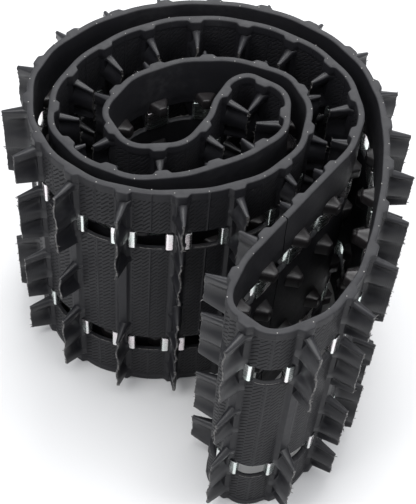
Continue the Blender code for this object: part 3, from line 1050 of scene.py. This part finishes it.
def clip_steel():
    """Plated spring steel, with a faint pink and green play of colour and rolling lines."""
    made, n, shader = new_material("clip_steel", STEEL, 0.24, metallic=1.0)
    where = n.place()
    play = n.ramp(n.noise(where, 28.0, 1.0), 0.35, 0.65)
    lines = n.noise(n.stretched(where, (60.0, 60.0, 1400.0)), 1.0, 2.0)
    n.feed(shader["Base Color"], n.mix(play, STEEL_PINK, STEEL_GREEN))
    n.feed(shader["Roughness"], n.ramp(lines, 0.2, 0.8, 0.22, 0.32))
    return made


def rod_fibreglass():
    """Pultruded fibreglass, with fine fibres that run along the rod."""
    made, n, shader = new_material("rod_fibreglass", FIBREGLASS, 0.45)
    fibres = n.noise(n.stretched(n.place(), (1600.0, 1600.0, 24.0)), 1.0, 2.0)
    n.feed(shader["Base Color"], n.mix(fibres, FIBRE_DARK, FIBRE_LIGHT))
    n.feed(shader["Roughness"], n.ramp(fibres, 0.2, 0.8, 0.36, 0.55))
    return made


# The track ------------------------------------


def placed(obj, body, replaced=None):
    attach(obj, body)
    if replaced:
        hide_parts(replaced)


def build_track():
    wear, cord = rubber_wear_group(), cord_texture_group()
    belt = carcass_rubber(wear, cord)
    fin = lug_rubber("paddle_rubber", wear, BLACK, mark_tips=True)
    block = lug_rubber("drive_lug_rubber", wear, LUG_BLACK)
    pip = lug_rubber("vent_pip_rubber", wear, PALE_GREY)
    torn_edge = lug_rubber("torn_flash_rubber", wear, TORN_GREY)
    steel = clip_steel()
    fibreglass = rod_fibreglass()
    for name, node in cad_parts.items():
        if name.startswith("cross_rod"):
            node.data.materials.clear()
            node.data.materials.append(fibreglass)
    route = route_object()
    wrap = wrap_tree()
    sheet, repeat = sheet_tree(wrap), repeat_tree(wrap)
    fins, pips, flash = [], [], []
    for i in range(ROW_KINDS):
        fins.append(joined("paddle_row_%d" % i, [paddle(span) for span in PADDLE_ROWS[i]]))
        pips.append(joined("rim_pips_%d" % i, [rim_pip(*spot) for spot in PIP_SPOTS[i]]))
        flash.append(joined("window_flash_%d" % i, window_flash(i)))
    drive_row = joined("drive_row", [drive_lug(span) for span in DRIVE_LUG_SPANS])
    clip_pair = joined("clip_pair", clip_shape())
    hair = whisker()
    on_sheet = {"Route": route, "Material": belt}
    frayed = {"Ragged": 4.2 * MM, "Hair density": 34000.0}
    for name, (body, first, last, runs_on) in STRETCHES.items():
        rods = list(range(first, last + 1))
        before_panels = rods if runs_on else rods[:-1]
        start = (first - FIRST) * PITCH - FLAT / 2
        end = (last - FIRST) * PITCH + (PITCH - FLAT / 2 if runs_on else FLAT / 2)
        skin = grown("carcass_" + name, carcass("unrolled", start, end), sheet, on_sheet)
        placed(skin, body, "belt_" + name)
        lugs = rod_points(rods, 1, PADDLE_HEIGHT), rod_points(rods, -1, DRIVE_LUG_HEIGHT)
        for kind, points, rows, material, slot, sharp, more in (
            ("paddles_", lugs[0], fins, fin, "rubber", 50, frayed),
            ("drive_lugs_", lugs[1], [drive_row], block, "rubber", 50, {}),
            ("rim_pips_", rod_points(rods), pips, pip, "rubber", 40, {}),
            ("window_flash_", rod_points(before_panels), flash, torn_edge, "rubber", 40, {}),
            ("clips_", rod_points(rods), [clip_pair] * 3, steel, "clip_steel", 40, {}),
        ):
            inputs = {"Route": route, "Material": material, "Hair": hair, "Seed": first, **more}
            for i, row in enumerate(rows):
                inputs["Row %d" % i] = row
            placed(grown(kind + name, points, repeat, inputs, sharp), body)
    for name, (rod, before, after) in FLEX_PANELS.items():
        start = (rod - FIRST) * PITCH + FLAT / 2
        end = start + PITCH - FLAT
        panel = grown("panel_" + name, carcass("unrolled", start, end), sheet, on_sheet)
        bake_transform(panel)
    open_panel(sheet, on_sheet)
    for helper in [*fins, drive_row, clip_pair, *pips, *flash, hair, route]:
        bpy.data.objects.remove(helper, do_unlink=True)


def open_panel(sheet, on_sheet):
    """The panel at the open pivot: two halves, and a thin rod in the slit on the flex line."""
    start = (OPEN_PANEL - FIRST) * PITCH + FLAT / 2
    middle = start + (PITCH - FLAT) / 2
    halves = (
        ("panel_open_roll", "roll", start, middle - SLIT_HALF),
        ("panel_open_strand", "inner_strand", middle + SLIT_HALF, start + PITCH - FLAT),
    )
    for name, body, low, high in halves:
        placed(grown(name, carcass("unrolled", low, high), sheet, on_sheet), body)
    edges = [0.5 * MM, BELT_WIDTH - 0.5 * MM]
    for row in WINDOW_ROWS:
        edges += [row - WINDOW_HEIGHT / 2 - 1 * MM, row + WINDOW_HEIGHT / 2 + 1 * MM]
    edges.sort()
    plan, shapes = circle(middle, 0.0, FILLER_RADIUS, 10), []
    for low, high in zip(edges[::2], edges[1::2]):
        rings = [np.array([(x, y, z) for x, y in plan]) for z in (low, high)]
        points, faces = lofted(rings, [tuple(range(10))])
        shapes.append((points, faces, [(middle, z) for x, y, z in points]))
    placed(grown("flex_line_filler", joined("unrolled", shapes), sheet, on_sheet), "roll")


# The stage ------------------------------------


def area_light(name, place, size, power):
    """A soft light that faces the middle of the roll."""
    light = bpy.data.lights.new(name, "AREA")
    light.shape = "RECTANGLE"
    light.size, light.size_y = size
    light.energy = power
    obj = link_object(name, light)
    obj.location = place
    towards = Vector((0.0, 0.0, 0.2)) - Vector(place)
    obj.rotation_euler = towards.to_track_quat("-Z", "Y").to_euler()


def build_stage():
    corners = [(-6, -6, 0), (6, -6, 0), (6, 6, 0), (-6, 6, 0)]
    floor = mesh_object("floor", corners, [(0, 1, 2, 3)])
    floor.location.z = -0.5 * MM
    floor.data.materials.append(new_material("pale_floor", FLOOR_GREY, 0.8)[0])
    world = bpy.data.worlds.new("studio")
    world.use_nodes = True
    sky = world.node_tree.nodes["Background"].inputs
    sky["Color"].default_value = (0.93, 0.95, 1.0, 1.0)
    sky["Strength"].default_value = 0.85
    bpy.context.scene.world = world
    area_light("key", (-1.5, -0.9, 2.4), (1.4, 1.4), 34)
    area_light("fill", (1.9, -0.6, 1.6), (1.0, 1.6), 20)
    area_light("back", (0.3, 1.9, 1.8), (2.0, 0.9), 34)
    area_light("top", (0.0, 0.1, 2.6), (1.6, 1.6), 46)


def build_camera():
    """Looks down at the roll from the front, a little rolled, with the frame shifted right."""
    camera = bpy.data.cameras.new("camera")
    camera.sensor_fit = "HORIZONTAL"
    camera.sensor_width = 36.0
    camera.lens = 100.33
    camera.shift_x = 0.0867
    camera.shift_y = -0.0057
    obj = link_object("camera", camera)
    place, tilt, roll = (-0.03296, -0.92435, 1.34385), 0.900417, 0.0485
    ahead = Vector((0, math.cos(tilt), -math.sin(tilt)))
    aside = Vector((1, 0, 0))
    up = aside.cross(ahead)
    right = math.cos(roll) * aside + math.sin(roll) * up
    above = math.cos(roll) * up - math.sin(roll) * aside
    turn = Matrix((right, above, -ahead)).transposed()
    obj.matrix_world = Matrix.Translation(place) @ turn.to_4x4()
    bpy.context.scene.camera = obj
    bpy.context.scene.view_settings.view_transform = "Standard"


build_camera()
build_stage()
build_track()
